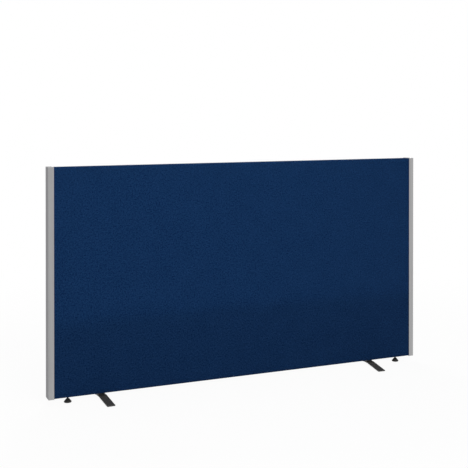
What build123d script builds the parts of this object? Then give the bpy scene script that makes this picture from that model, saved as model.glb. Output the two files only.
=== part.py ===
from build123d import *
import math
import os

# A free-standing fabric screen, in millimetres. The panel runs along X with its front towards -Y,
# +Z is up, and the origin is on the floor under the middle of the panel. It stands on two
# levelling glides and two feet: flat bars that swivel on one bolt each.

# Overall sizes
screen_width = 1800.0
screen_height = 1000.0
panel_thickness = 50.0
floor_gap = 28.0

# Edge trim: a U extrusion that clamps the upright edges of the panel
trim_depth = 24.0
trim_wall = 2.0
trim_corner_radius = 1.5
trim_lip_radius = 0.6
rib_height = 5.0
rib_thickness = 1.6
rib_spacing = 16.0
drill_line_width = 1.0

# Screws through the web of the trim, with countersunk heads
trim_screw_shares = (0.12, 0.37, 0.63, 0.88)
trim_screw_diameter = 4.0
trim_screw_head_diameter = 7.6
trim_screw_grip = 30.0
trim_screw_socket = 2.5
trim_screw_socket_depth = 1.2
trim_screw_clearance = 0.1

# Caps in the open ends of the trim
cap_thickness = 1.5
cap_edge_radius = 0.8
spigot_length = 16.0
spigot_lead = 1.2
spigot_clearance = 0.3

# Layers of the panel, from the outside in
fabric_thickness = 1.0
foam_thickness = 4.0
board_thickness = 3.0
cover_edge_radius = 4.0
foam_edge_clearance = 0.2
hem_opening = 16.0

# Staples that hold the two hems to the bottom rail
staple_crown = 10.0
staple_wire = 0.8
staple_leg = 7.0
staple_pitch = 100.0
staple_inset = 4.0
staple_clearance = 0.1

# Wooden frame, its dowels and the slabs in its two bays
stile_width = 45.0
centre_stile_width = 45.0
top_rail_height = 40.0
bottom_rail_height = 60.0
dowel_diameter = 8.0
dowel_length = 40.0
dowel_clearance = 0.1
dowel_place_shares = (-0.22, 0.22)
core_clearance = 0.5

# Threaded inserts, shared by the glides and the feet
thread_diameter = 8.0
thread_clearance = 0.3
insert_diameter = 12.0
insert_length = 22.0
insert_flange_diameter = 15.0
insert_clearance = 0.1
relief_depth = 50.0

# Levelling glides: a conical base with a socket, and a stud with a ball end
glide_inset = 87.0
glide_diameter = 32.0
glide_contact_diameter = 16.0
glide_rim_bottom = 2.4
glide_rim_top = 6.2
glide_rim_radius = 1.6
glide_height = 18.5
glide_top_diameter = 11.0
ball_diameter = 11.0
ball_height = 7.5
ball_clearance = 0.3
glide_mouth_diameter = 9.0
stud_engagement = 30.0
stud_chamfer = 1.0
stud_flats = 7.0
stud_flats_height = 5.0

# Feet: flat bars that slope down from a raised middle to both tips
foot_inset = 234.0
foot_length = 256.0
foot_width = 35.0
foot_thickness = 5.0
foot_rise = 12.0
foot_middle_length = 30.0
foot_tip_length = 12.0
foot_bend_radius = 30.0
foot_corner_radius = 2.0
foot_edge_radius = 0.5
foot_toe_in = 3.5

# Bolt, washer and spacer sleeve of each foot
bolt_head_diameter = 13.0
bolt_head_height = 4.0
bolt_head_radius = 0.8
bolt_engagement = 20.0
bolt_socket = 5.0
bolt_socket_depth = 2.2
washer_diameter = 16.0
washer_thickness = 1.2
spacer_diameter = 26.0
spacer_edge_radius = 0.5

# Sizes that follow from those above
panel_half = screen_width / 2 - trim_wall - rib_height
cover_top = screen_height - cap_thickness
cover_height = cover_top - floor_gap
cover_middle = floor_gap + cover_height / 2
frame_bottom = floor_gap + fabric_thickness
frame_top = cover_top - fabric_thickness
frame_height = frame_top - frame_bottom
frame_middle = frame_bottom + frame_height / 2
frame_depth = panel_thickness - 2 * (fabric_thickness + foam_thickness + board_thickness)
trim_thickness = panel_thickness + 2 * trim_wall
rail_half = panel_half - stile_width
bottom_rail_top = frame_bottom + bottom_rail_height
top_rail_bottom = frame_top - top_rail_height
glide_place = screen_width / 2 - glide_inset
foot_place = screen_width / 2 - foot_inset
thread_hole_radius = thread_diameter / 2 + thread_clearance
foot_middle_top = foot_rise + foot_thickness
spacer_height = floor_gap - foot_middle_top
sides = {"left": -1, "right": 1}

os.makedirs("parts", exist_ok=True)


def facing(origin, direction):
    """Location at a point, with its own Z along the direction."""
    return Plane(origin=origin, z_dir=direction).location


def upright_section(place):
    """Upright plane through a point of the floor, for profiles turned about Z there."""
    return Plane(origin=(place, 0, 0), x_dir=(1, 0, 0), z_dir=(0, -1, 0))


def dowel_locations():
    """Middles of all dowels, on the faces where the frame's members meet."""
    found = []
    for direction in sides.values():
        for share in dowel_place_shares:
            low = frame_bottom + bottom_rail_height * (1 / 2 + share)
            high = top_rail_bottom + top_rail_height * (1 / 2 + share)
            found.append(facing((direction * rail_half, 0, low), (direction, 0, 0)))
            found.append(facing((direction * rail_half, 0, high), (direction, 0, 0)))
    for share in dowel_place_shares:
        found.append(facing((centre_stile_width * share, 0, bottom_rail_top), (0, 0, 1)))
        found.append(facing((centre_stile_width * share, 0, top_rail_bottom), (0, 0, 1)))
    return found


def cut_dowel_holes():
    """Cuts the dowel holes out of the frame member that is being made."""
    with Locations(*dowel_locations()):
        Cylinder(
            dowel_diameter / 2 + dowel_clearance,
            dowel_length + 2 * dowel_clearance,
            mode=Mode.SUBTRACT,
        )


def insert_locations():
    """Points on the underside of the bottom rail where the threaded inserts sit."""
    found = []
    for direction in sides.values():
        for place in (glide_place, foot_place):
            found.append(Location((direction * place, 0, frame_bottom)))
    return found


def staple_locations():
    """Middles of the staples' crowns, on the underside of both hems."""
    across = hem_opening / 2 + staple_inset
    count = int(2 * rail_half / staple_pitch)
    return GridLocations(staple_pitch, 2 * across, count, 2).locations


def trim_screw_heights():
    """Heights of the screws of one edge trim."""
    return [floor_gap + cover_height * share for share in trim_screw_shares]


# Bottom rail, with bores for the threaded inserts and slots for the staples
with BuildPart() as bottom_rail:
    with BuildSketch(Plane.XY.offset(frame_bottom)):
        Rectangle(2 * rail_half, frame_depth)
    extrude(amount=bottom_rail_height)
    with Locations(*insert_locations()):
        Cylinder(
            insert_diameter / 2 + insert_clearance,
            insert_length,
            align=(Align.CENTER, Align.CENTER, Align.MIN),
            mode=Mode.SUBTRACT,
        )
        Cylinder(
            thread_hole_radius,
            relief_depth,
            align=(Align.CENTER, Align.CENTER, Align.MIN),
            mode=Mode.SUBTRACT,
        )
    cut_dowel_holes()
    with BuildSketch(Plane.XY.offset(frame_bottom)):
        with Locations(*staple_locations()):
            with GridLocations(staple_crown - staple_wire, 0, 2, 1):
                Rectangle(staple_wire + 2 * staple_clearance, staple_wire + 2 * staple_clearance)
    extrude(amount=staple_leg, mode=Mode.SUBTRACT)
bottom_rail.part.label = "bottom_rail"
export_step(bottom_rail.part, "parts/bottom_rail.step")

# Top rail
with BuildPart() as top_rail:
    with BuildSketch(Plane.XY.offset(top_rail_bottom)):
        Rectangle(2 * rail_half, frame_depth)
    extrude(amount=top_rail_height)
    cut_dowel_holes()
top_rail.part.label = "top_rail"
export_step(top_rail.part, "parts/top_rail.step")

# Stiles at both ends, with pilot holes for the screws of the trim
for side, direction in sides.items():
    with BuildPart() as stile:
        with BuildSketch(Plane.XY.offset(frame_bottom)):
            with Locations((direction * (panel_half - stile_width / 2), 0)):
                Rectangle(stile_width, frame_depth)
        extrude(amount=frame_height)
        cut_dowel_holes()
        for height in trim_screw_heights():
            with Locations(facing((direction * panel_half, 0, height), (direction, 0, 0))):
                Hole(trim_screw_diameter / 2 + trim_screw_clearance, trim_screw_grip)
    stile.part.label = f"{side}_stile"
    export_step(stile.part, f"parts/{side}_stile.step")

# Stile in the middle, between the rails
with BuildPart() as centre_stile:
    with BuildSketch(Plane.XY.offset(bottom_rail_top)):
        Rectangle(centre_stile_width, frame_depth)
    extrude(amount=top_rail_bottom - bottom_rail_top)
    cut_dowel_holes()
centre_stile.part.label = "centre_stile"
export_step(centre_stile.part, "parts/centre_stile.step")

# Dowels of the frame's joints
with BuildPart() as frame_dowels:
    with Locations(*dowel_locations()):
        Cylinder(dowel_diameter / 2, dowel_length)
frame_dowels.part.label = "frame_dowels"
export_step(frame_dowels.part, "parts/frame_dowels.step")

# Slabs that fill the two bays of the frame
for side, direction in sides.items():
    bay_width = rail_half - centre_stile_width / 2
    with BuildPart() as core:
        with BuildSketch(Plane.XY.offset(bottom_rail_top + core_clearance)):
            with Locations((direction * (rail_half - bay_width / 2), 0)):
                Rectangle(bay_width - 2 * core_clearance, frame_depth)
        extrude(amount=top_rail_bottom - bottom_rail_top - 2 * core_clearance)
    core.part.label = f"{side}_core"
    export_step(core.part, f"parts/{side}_core.step")

# Facing boards and foam layers of the front and the back
for face, direction in {"front": -1, "back": 1}.items():
    board_place = frame_depth / 2 + board_thickness / 2
    with BuildPart() as board:
        with BuildSketch(Plane.XY.offset(frame_bottom)):
            with Locations((0, direction * board_place)):
                Rectangle(2 * panel_half, board_thickness)
        extrude(amount=frame_height)
    board.part.label = f"{face}_board"
    export_step(board.part, f"parts/{face}_board.step")

    foam_place = frame_depth / 2 + board_thickness + foam_thickness / 2
    with BuildPart() as foam:
        with BuildSketch(Plane.YZ.offset(-panel_half)) as foam_section:
            with Locations((direction * foam_place, frame_middle)):
                Rectangle(foam_thickness, frame_height)
            outer = foam_section.vertices().sort_by(Axis.X)[2:]
            if direction < 0:
                outer = foam_section.vertices().sort_by(Axis.X)[:2]
            fillet(outer, cover_edge_radius - fabric_thickness + foam_edge_clearance)
        extrude(amount=2 * panel_half)
    foam.part.label = f"{face}_foam"
    export_step(foam.part, f"parts/{face}_foam.step")

# Fabric cover over front, top and back, with both hems turned under the bottom
with BuildPart() as fabric_cover:
    with BuildSketch(Plane.YZ.offset(-panel_half)):
        with Locations((0, cover_middle)):
            RectangleRounded(panel_thickness, cover_height, cover_edge_radius)
        with Locations((0, cover_middle)):
            RectangleRounded(
                panel_thickness - 2 * fabric_thickness,
                frame_height,
                cover_edge_radius - fabric_thickness,
                mode=Mode.SUBTRACT,
            )
        with Locations((0, floor_gap)):
            Rectangle(
                hem_opening,
                2 * fabric_thickness,
                mode=Mode.SUBTRACT,
            )
    extrude(amount=2 * panel_half)
    with BuildSketch(Plane.XY.offset(floor_gap)):
        with Locations(*staple_locations()):
            with GridLocations(staple_crown - staple_wire, 0, 2, 1):
                Rectangle(staple_wire + 2 * staple_clearance, staple_wire + 2 * staple_clearance)
    extrude(amount=fabric_thickness, mode=Mode.SUBTRACT)
fabric_cover.part.label = "fabric_cover"
export_step(fabric_cover.part, "parts/fabric_cover.step")

# Staples through the hems, each a crown with two legs
with BuildPart() as hem_staples:
    with BuildSketch(Plane.XY.offset(floor_gap - staple_wire)):
        with Locations(*staple_locations()):
            Rectangle(staple_crown, staple_wire)
    extrude(amount=staple_wire)
    with BuildSketch(Plane.XY.offset(floor_gap)):
        with Locations(*staple_locations()):
            with GridLocations(staple_crown - staple_wire, 0, 2, 1):
                Rectangle(staple_wire, staple_wire)
    extrude(amount=staple_leg)
hem_staples.part.label = "hem_staples"
export_step(hem_staples.part, "parts/hem_staples.step")

# Threaded inserts, each a sleeve with a flange that ends flush with the hems
with BuildPart() as rail_inserts:
    with Locations(*insert_locations()):
        Cylinder(
            insert_flange_diameter / 2,
            fabric_thickness,
            align=(Align.CENTER, Align.CENTER, Align.MAX),
        )
        Cylinder(
            insert_diameter / 2,
            insert_length,
            align=(Align.CENTER, Align.CENTER, Align.MIN),
        )
        Cylinder(
            thread_hole_radius,
            2 * (insert_length + fabric_thickness),
            mode=Mode.SUBTRACT,
        )
rail_inserts.part.label = "rail_inserts"
export_step(rail_inserts.part, "parts/rail_inserts.step")

for side, direction in sides.items():
    # Local X of this plane runs from the outer face of the trim into the panel
    trim_plane = Plane(
        origin=(direction * screen_width / 2, 0, floor_gap),
        x_dir=(-direction, 0, 0),
        z_dir=(0, 0, 1),
    )

    # Edge trim, a U with two ribs that stand off the stile and a fine line for drilling
    with BuildPart() as edge_trim:
        with BuildSketch(trim_plane) as trim_section:
            Rectangle(trim_depth, trim_thickness, align=(Align.MIN, Align.CENTER))
            fillet(trim_section.vertices().group_by(Axis.X)[0], trim_corner_radius)
            with Locations((trim_wall, 0)):
                Rectangle(
                    trim_depth,
                    panel_thickness,
                    align=(Align.MIN, Align.CENTER),
                    mode=Mode.SUBTRACT,
                )
            fillet(trim_section.vertices().group_by(Axis.X)[-1], trim_lip_radius)
            with Locations((trim_wall, 0)):
                with GridLocations(0, rib_spacing, 1, 2):
                    Rectangle(rib_height, rib_thickness, align=(Align.MIN, Align.CENTER))
            Rectangle(drill_line_width, drill_line_width, rotation=45, mode=Mode.SUBTRACT)
        extrude(amount=cover_height)
        for height in trim_screw_heights():
            with Locations(facing((direction * screen_width / 2, 0, height), (direction, 0, 0))):
                CounterSinkHole(
                    trim_screw_diameter / 2 + trim_screw_clearance,
                    trim_screw_head_diameter / 2 + trim_screw_clearance,
                    trim_wall,
                )
    edge_trim.part.label = f"{side}_edge_trim"
    export_step(edge_trim.part, f"parts/{side}_edge_trim.step")

    # Screws of the trim, with flush heads and hexagon sockets
    with BuildPart() as trim_screws:
        head_depth = (trim_screw_head_diameter - trim_screw_diameter) / 2
        for height in trim_screw_heights():
            with Locations(facing((direction * screen_width / 2, 0, height), (-direction, 0, 0))):
                Cone(
                    trim_screw_head_diameter / 2,
                    trim_screw_diameter / 2,
                    head_depth,
                    align=(Align.CENTER, Align.CENTER, Align.MIN),
                )
                Cylinder(
                    trim_screw_diameter / 2,
                    trim_wall + rib_height + trim_screw_grip,
                    align=(Align.CENTER, Align.CENTER, Align.MIN),
                )
            head_face = (direction * screen_width / 2, 0, height)
            with BuildSketch(Plane(origin=head_face, z_dir=(-direction, 0, 0))):
                RegularPolygon(trim_screw_socket / 2, 6, major_radius=False)
            extrude(amount=trim_screw_socket_depth, mode=Mode.SUBTRACT)
    trim_screws.part.label = f"{side}_trim_screws"
    export_step(trim_screws.part, f"parts/{side}_trim_screws.step")

    # Caps at both ends of the trim, each a plate with two spigots beside the ribs
    for end, height, outward in (("bottom", floor_gap, -1), ("top", cover_top, 1)):
        with BuildPart() as cap:
            with BuildSketch(trim_plane.offset(height - floor_gap)) as plate:
                Rectangle(trim_depth, trim_thickness, align=(Align.MIN, Align.CENTER))
                fillet(plate.vertices().group_by(Axis.X)[0], trim_corner_radius)
            extrude(amount=outward * cap_thickness)
            outer_face = cap.faces().sort_by(Axis.Z)[0 if outward < 0 else -1]
            fillet(outer_face.edges(), cap_edge_radius)
            with BuildSketch(trim_plane.offset(height - floor_gap)) as spigots:
                spigot_inner = rib_spacing / 2 + rib_thickness / 2 + spigot_clearance
                spigot_outer = panel_thickness / 2 - spigot_clearance
                with Locations((trim_wall + rib_height / 2, 0)):
                    with GridLocations(0, spigot_inner + spigot_outer, 1, 2):
                        Rectangle(rib_height - 2 * spigot_clearance, spigot_outer - spigot_inner)
            extrude(amount=-outward * spigot_length)
            lead_faces = cap.faces().filter_by(Axis.Z).sort_by(Axis.Z)
            lead_faces = lead_faces[-2:] if outward < 0 else lead_faces[:2]
            chamfer(lead_faces.edges(), spigot_lead)
        cap.part.label = f"{side}_{end}_cap"
        export_step(cap.part, f"parts/{side}_{end}_cap.step")

    # Base of the levelling glide, a cone on a rounded rim with a ball socket inside
    glide_x = direction * glide_place
    with BuildPart() as glide_base:
        with BuildSketch(upright_section(glide_x)) as cone_section:
            with BuildLine():
                Polyline(
                    (0, 0),
                    (glide_contact_diameter / 2, 0),
                    (glide_diameter / 2, glide_rim_bottom),
                    (glide_diameter / 2, glide_rim_top),
                    (glide_top_diameter / 2, glide_height),
                    (0, glide_height),
                    close=True,
                )
            make_face()
            fillet(cone_section.vertices().group_by(Axis.X)[-1], glide_rim_radius)
        revolve(axis=Axis((glide_x, 0, 0), (0, 0, 1)))
        with Locations((glide_x, 0, ball_height)):
            Sphere(ball_diameter / 2 + ball_clearance, mode=Mode.SUBTRACT)
            Cylinder(
                glide_mouth_diameter / 2,
                glide_height,
                align=(Align.CENTER, Align.CENTER, Align.MIN),
                mode=Mode.SUBTRACT,
            )
    glide_base.part.label = f"{side}_glide_base"
    export_step(glide_base.part, f"parts/{side}_glide_base.step")

    # Stud of the glide, with a ball end, two flats for a spanner and a chamfered top
    with BuildPart() as glide_stud:
        with Locations((glide_x, 0, ball_height)):
            Sphere(ball_diameter / 2)
            Cylinder(
                thread_diameter / 2,
                floor_gap + stud_engagement - ball_height,
                align=(Align.CENTER, Align.CENTER, Align.MIN),
            )
        chamfer(glide_stud.edges().sort_by(Axis.Z)[-1], stud_chamfer)
        with BuildSketch(Plane.XY.offset(glide_height)):
            with Locations((glide_x, 0)):
                Circle(thread_diameter)
                Rectangle(2 * thread_diameter, stud_flats, mode=Mode.SUBTRACT)
        extrude(amount=stud_flats_height, mode=Mode.SUBTRACT)
    glide_stud.part.label = f"{side}_glide_stud"
    export_step(glide_stud.part, f"parts/{side}_glide_stud.step")

    # Foot, a flat bar bent down from its raised middle to both tips, turned to its toe-in
    foot_x = direction * foot_place
    toe = math.radians(-direction * foot_toe_in)
    along = Vector(math.sin(toe), -math.cos(toe), 0)
    foot_side_plane = Plane(origin=(foot_x, 0, 0), x_dir=along, z_dir=along.cross(Vector(0, 0, 1)))
    foot_plan_plane = Plane(origin=(foot_x, 0, 0), x_dir=along, z_dir=(0, 0, 1))
    with BuildPart() as foot:
        with BuildSketch(foot_side_plane) as bar_section:
            middle_end = foot_middle_length / 2
            tip_start = foot_length / 2 - foot_tip_length
            with BuildLine():
                lower = FilletPolyline(
                    (-foot_length / 2, 0),
                    (-tip_start, 0),
                    (-middle_end, foot_rise),
                    (middle_end, foot_rise),
                    (tip_start, 0),
                    (foot_length / 2, 0),
                    radius=foot_bend_radius,
                )
                upper = add(lower.moved(Location((0, foot_thickness, 0))))
                Line((-foot_length / 2, 0), (-foot_length / 2, foot_thickness))
                Line((foot_length / 2, 0), (foot_length / 2, foot_thickness))
            make_face()
        extrude(amount=foot_width / 2, both=True)
        corner_edges = foot.edges().filter_by(Axis.Z)
        fillet(corner_edges, foot_corner_radius)
        outline_faces = foot.faces().filter_by(lambda face: abs(face.normal_at().Z) < 1 / 2)
        rims = [edge for edge in outline_faces.edges() if abs(edge.tangent_at(0).Z) < 1 / 2]
        fillet(rims, foot_edge_radius)
        with Locations(foot_plan_plane.offset(foot_middle_top).location):
            Hole(thread_hole_radius, 2 * foot_thickness)
    foot.part.label = f"{side}_foot"
    export_step(foot.part, f"parts/{side}_foot.step")

    # Spacer sleeve between the foot and the panel
    with BuildPart() as foot_spacer:
        with BuildSketch(Plane.XY.offset(foot_middle_top)):
            with Locations((foot_x, 0)):
                Circle(spacer_diameter / 2)
                Circle(thread_hole_radius, mode=Mode.SUBTRACT)
        extrude(amount=spacer_height)
        rims = foot_spacer.edges().filter_by(GeomType.CIRCLE).sort_by(SortBy.RADIUS)[-2:]
        fillet(rims, spacer_edge_radius)
    foot_spacer.part.label = f"{side}_foot_spacer"
    export_step(foot_spacer.part, f"parts/{side}_foot_spacer.step")

    # Washer under the foot
    with BuildPart() as foot_washer:
        with BuildSketch(Plane.XY.offset(foot_rise - washer_thickness)):
            with Locations((foot_x, 0)):
                Circle(washer_diameter / 2)
                Circle(thread_hole_radius, mode=Mode.SUBTRACT)
        extrude(amount=washer_thickness)
    foot_washer.part.label = f"{side}_foot_washer"
    export_step(foot_washer.part, f"parts/{side}_foot_washer.step")

    # Bolt from below, through washer, foot, spacer and insert
    with BuildPart() as foot_bolt:
        head_top = foot_rise - washer_thickness
        with Locations((foot_x, 0, head_top)):
            Cylinder(
                bolt_head_diameter / 2,
                bolt_head_height,
                align=(Align.CENTER, Align.CENTER, Align.MAX),
            )
            Cylinder(
                thread_diameter / 2,
                floor_gap + bolt_engagement - head_top,
                align=(Align.CENTER, Align.CENTER, Align.MIN),
            )
        fillet(foot_bolt.edges().sort_by(Axis.Z)[0], bolt_head_radius)
        chamfer(foot_bolt.edges().sort_by(Axis.Z)[-1], stud_chamfer)
        with BuildSketch(Plane.XY.offset(head_top - bolt_head_height)):
            with Locations((foot_x, 0)):
                RegularPolygon(bolt_socket / 2, 6, major_radius=False)
        extrude(amount=bolt_socket_depth, mode=Mode.SUBTRACT)
    foot_bolt.part.label = f"{side}_foot_bolt"
    export_step(foot_bolt.part, f"parts/{side}_foot_bolt.step")
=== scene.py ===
"""Fabric floor screen: its cover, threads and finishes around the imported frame, and the studio."""

import logging
import math
from dataclasses import dataclass
from enum import Enum
from typing import Callable

import bmesh
import bpy
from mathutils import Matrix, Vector


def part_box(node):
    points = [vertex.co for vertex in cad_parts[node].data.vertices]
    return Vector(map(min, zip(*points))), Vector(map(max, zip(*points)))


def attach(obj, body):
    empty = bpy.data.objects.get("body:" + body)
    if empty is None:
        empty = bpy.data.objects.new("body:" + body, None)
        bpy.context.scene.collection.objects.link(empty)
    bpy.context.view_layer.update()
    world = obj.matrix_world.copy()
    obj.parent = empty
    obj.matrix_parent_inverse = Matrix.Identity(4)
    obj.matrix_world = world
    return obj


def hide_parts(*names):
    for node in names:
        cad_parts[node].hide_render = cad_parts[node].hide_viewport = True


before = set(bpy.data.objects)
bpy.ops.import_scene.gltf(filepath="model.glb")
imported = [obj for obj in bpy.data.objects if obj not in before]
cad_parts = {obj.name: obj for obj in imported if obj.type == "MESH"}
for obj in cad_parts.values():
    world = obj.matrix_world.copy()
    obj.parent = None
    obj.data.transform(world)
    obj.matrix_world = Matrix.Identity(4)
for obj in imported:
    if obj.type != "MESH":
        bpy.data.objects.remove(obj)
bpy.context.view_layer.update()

log = logging.getLogger("fabric_screen")

# A millimetre, in metres
MM = 0.001
# Points nearer than this are one point
CLOSE = 0.001 * MM
# How far a cutting tool stands clear of what it leaves
SLACK = 0.01 * MM
# Stands for a length of nothing in an angle
NEXT_TO_NOTHING = 1e-9
# Share of a direction that lies along an axis, past which it counts as square to the rest
SQUARE = 0.99
SIDES = {"left": -1, "right": 1}
Pair = tuple[float, float]
Triple = tuple[float, float, float]
Colour = Triple
Socket = bpy.types.NodeSocket


class Part(Enum):
    """What a selection in edit mode is made of."""

    CORNER = "VERT"
    EDGE = "EDGE"
    FACE = "FACE"


class Grain(Enum):
    """How much a wood pattern is stretched along X, Y and Z."""

    LENGTHWAYS = (0.03, 1.0, 1.0)
    UPRIGHT = (1.0, 1.0, 0.03)


def _operator(operation: str) -> Callable[["Value", "Number"], "Value"]:
    """Makes an operator of two numbers that adds one Math node."""
    return lambda first, second: first.nodes.maths(operation, first, second)


class Value:
    """A number in a shader, whose operators each add one Math node."""

    def __init__(self, nodes: "Nodes", socket: Socket) -> None:
        """Keeps the node tree and the socket that gives the number."""
        self.nodes = nodes
        self.socket = socket

    def __rsub__(self, other: float) -> "Value":
        """Subtracts from a plain number."""
        return self.nodes.maths("SUBTRACT", other, self)

    def __abs__(self) -> "Value":
        """Size without its sign."""
        return self.nodes.maths("ABSOLUTE", self)

    __add__ = __radd__ = _operator("ADD")
    __sub__ = _operator("SUBTRACT")
    __mul__ = __rmul__ = _operator("MULTIPLY")
    __truediv__ = _operator("DIVIDE")
    __pow__ = _operator("POWER")
    # The remainder, which is never below zero
    __mod__ = _operator("FLOORED_MODULO")


Number = Value | float


@dataclass(frozen=True)
class Pattern:
    """Soft noise or random cells, and what they change in a finish.

    Attributes:
        size: Size of its spots, in metres.
        detail: How many finer layers the noise has.
        tone: How much it changes the colour.
        gloss: How much it changes the roughness.
        start: Its number where a spot starts.
        full: Its number where a spot is full.
        middle: The number that it swings about.
    """

    size: float
    detail: float = 2.0
    tone: float = 0.0
    gloss: float = 0.0
    start: float = 0.0
    full: float = 1.0
    middle: float = 0.5

    def toned(self, number: Value) -> Value:
        """What a number of this pattern adds to the light of the colour."""
        return self.tone * (number - self.middle)

    def glossed(self, number: Value) -> Value:
        """What a number of this pattern adds to the roughness."""
        return self.gloss * (number - self.middle)


class Nodes:
    """A node tree, with the few calls that the finishes are made of."""

    def __init__(self, tree: bpy.types.NodeTree) -> None:
        """Empties a node tree and keeps it."""
        self.tree = tree
        self.tree.nodes.clear()

    def node(
        self, kind: str, sockets: dict[str | int, object] | None = None, **settings: object
    ) -> bpy.types.Node:
        """Adds one node.

        Args:
            kind: The node's type, without its common prefix.
            sockets: Values or links of the inputs, by name or number.
            settings: Properties, which are set first.

        Returns:
            The new node.
        """
        made = self.tree.nodes.new("ShaderNode" + kind)
        for key, setting in settings.items():
            setattr(made, key, setting)
        for key, given in (sockets or {}).items():
            if isinstance(given, Value):
                given = given.socket
            if isinstance(given, Socket):
                self.tree.links.new(given, made.inputs[key])
            else:
                made.inputs[key].default_value = given
        return made

    def maths(self, operation: str, *numbers: Number) -> Value:
        """Adds a Math node on one to three numbers."""
        return Value(self, self.node("Math", dict(enumerate(numbers)), operation=operation).outputs[0])

    def place(self, kind: str = "Object") -> Socket:
        """Place on the object, or with UV on the flat cut cloth, in metres."""
        return self.node("TexCoord").outputs[kind]

    def split(self, place: Socket) -> list[Value]:
        """Splits a vector into its three numbers."""
        return [Value(self, socket) for socket in self.node("SeparateXYZ", {0: place}).outputs]

    def joined(self, *numbers: Number) -> Socket:
        """Makes a vector of up to three numbers."""
        return self.node("CombineXYZ", dict(enumerate(numbers))).outputs[0]

    def mapped(self, place: Socket, **changes: Triple) -> Socket:
        """Moves, turns or stretches a place, one change after the other.

        Args:
            place: The place to start from.
            changes: Location in metres, Rotation in radians or Scale, as the Mapping node names them.

        Returns:
            The new place.
        """
        for name, change in changes.items():
            place = self.node("Mapping", {"Vector": place, name: change}).outputs[0]
        return place

    def noise(self, place: Socket, pattern: Pattern) -> Value:
        """Soft noise, from 0 to 1."""
        sockets = {"Vector": place, "Scale": 1.0 / pattern.size, "Detail": pattern.detail}
        return Value(self, self.node("TexNoise", sockets).outputs[0])

    def spots(self, place: Socket, pattern: Pattern) -> Value:
        """Spots of soft noise, 0 between them and 1 where they are full."""
        return self.step(self.noise(place, pattern), pattern.start, pattern.full)

    def cells(self, place: Socket, pattern: Pattern) -> Value:
        """Distance from the middles of random cells of one size, in cells."""
        made = self.node("TexVoronoi", {"Vector": place, "Scale": 1.0 / pattern.size})
        return Value(self, made.outputs["Distance"])

    def chance(self, place: Socket) -> Value:
        """Random number of a place, from 0 to 1."""
        return Value(self, self.node("TexWhiteNoise", {"Vector": place}).outputs["Value"])

    def step(self, number: Value, low: float, high: float) -> Value:
        """Rises smoothly from 0 at the low number to 1 at the high one."""
        sockets = {"Value": number, "From Min": low, "From Max": high}
        return Value(self, self.node("MapRange", sockets, interpolation_type="SMOOTHSTEP").outputs["Result"])

    def between(self, share: Value, first: object, second: object) -> Socket:
        """Mixes two colours, each a plain colour or a socket."""
        given = [(*c, 1.0) if isinstance(c, tuple) else c for c in (first, second)]
        return self.node("Mix", {0: share, 6: given[0], 7: given[1]}, data_type="RGBA").outputs[2]

    def bump(self, height: Value, depth: float) -> Socket:
        """Tilts the surface by a height, which is a depth in metres where it is 1."""
        return self.node("Bump", {"Height": height, "Distance": depth, "Strength": 1.0}).outputs["Normal"]

    def surface(self, sockets: dict[str, object]) -> None:
        """Ends the tree in one surface with these sockets."""
        self.node("OutputMaterial", {"Surface": self.node("BsdfPrincipled", sockets).outputs[0]})

    def mixture(self, output: str, share: Value, first: bpy.types.Node, second: bpy.types.Node) -> None:
        """Ends the tree in a mixture of two shaders, where a share of 1 is all of the second."""
        sockets = {0: share, 1: first.outputs[0], 2: second.outputs[0]}
        self.node(output, {"Surface": self.node("MixShader", sockets).outputs[0]})


def scaled(colour: Colour, factor: float, haze: float = 0.0) -> Colour:
    """Makes a colour lighter or darker, and adds a grey haze."""
    return tuple(channel * factor + haze for channel in colour)


@dataclass(frozen=True)
class Finish:
    """A surface finish: a name, its colour on the whole and how far each channel goes either way."""

    name: str
    colour: Colour
    spread: Colour = (0.2, 0.2, 0.2)

    def material(self) -> bpy.types.Material:
        """Finds the finish's material, or makes it on first use.

        Returns:
            The material.
        """
        found = bpy.data.materials.get(self.name)
        if found is None:
            found = bpy.data.materials.new(self.name)
            found.use_nodes = True
            self.dress(Nodes(found.node_tree))
        return found

    def dress(self, nodes: Nodes) -> None:
        """Builds the finish's nodes in an empty tree."""
        raise NotImplementedError

    def shaded(self, nodes: Nodes, light: Value) -> Socket:
        """The colour, from its darkest to its brightest as the light goes from 0 to 1."""
        ends = (tuple(c * (1 + way * s) for c, s in zip(self.colour, self.spread)) for way in (-1, 1))
        return nodes.between(light, *ends)


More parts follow.
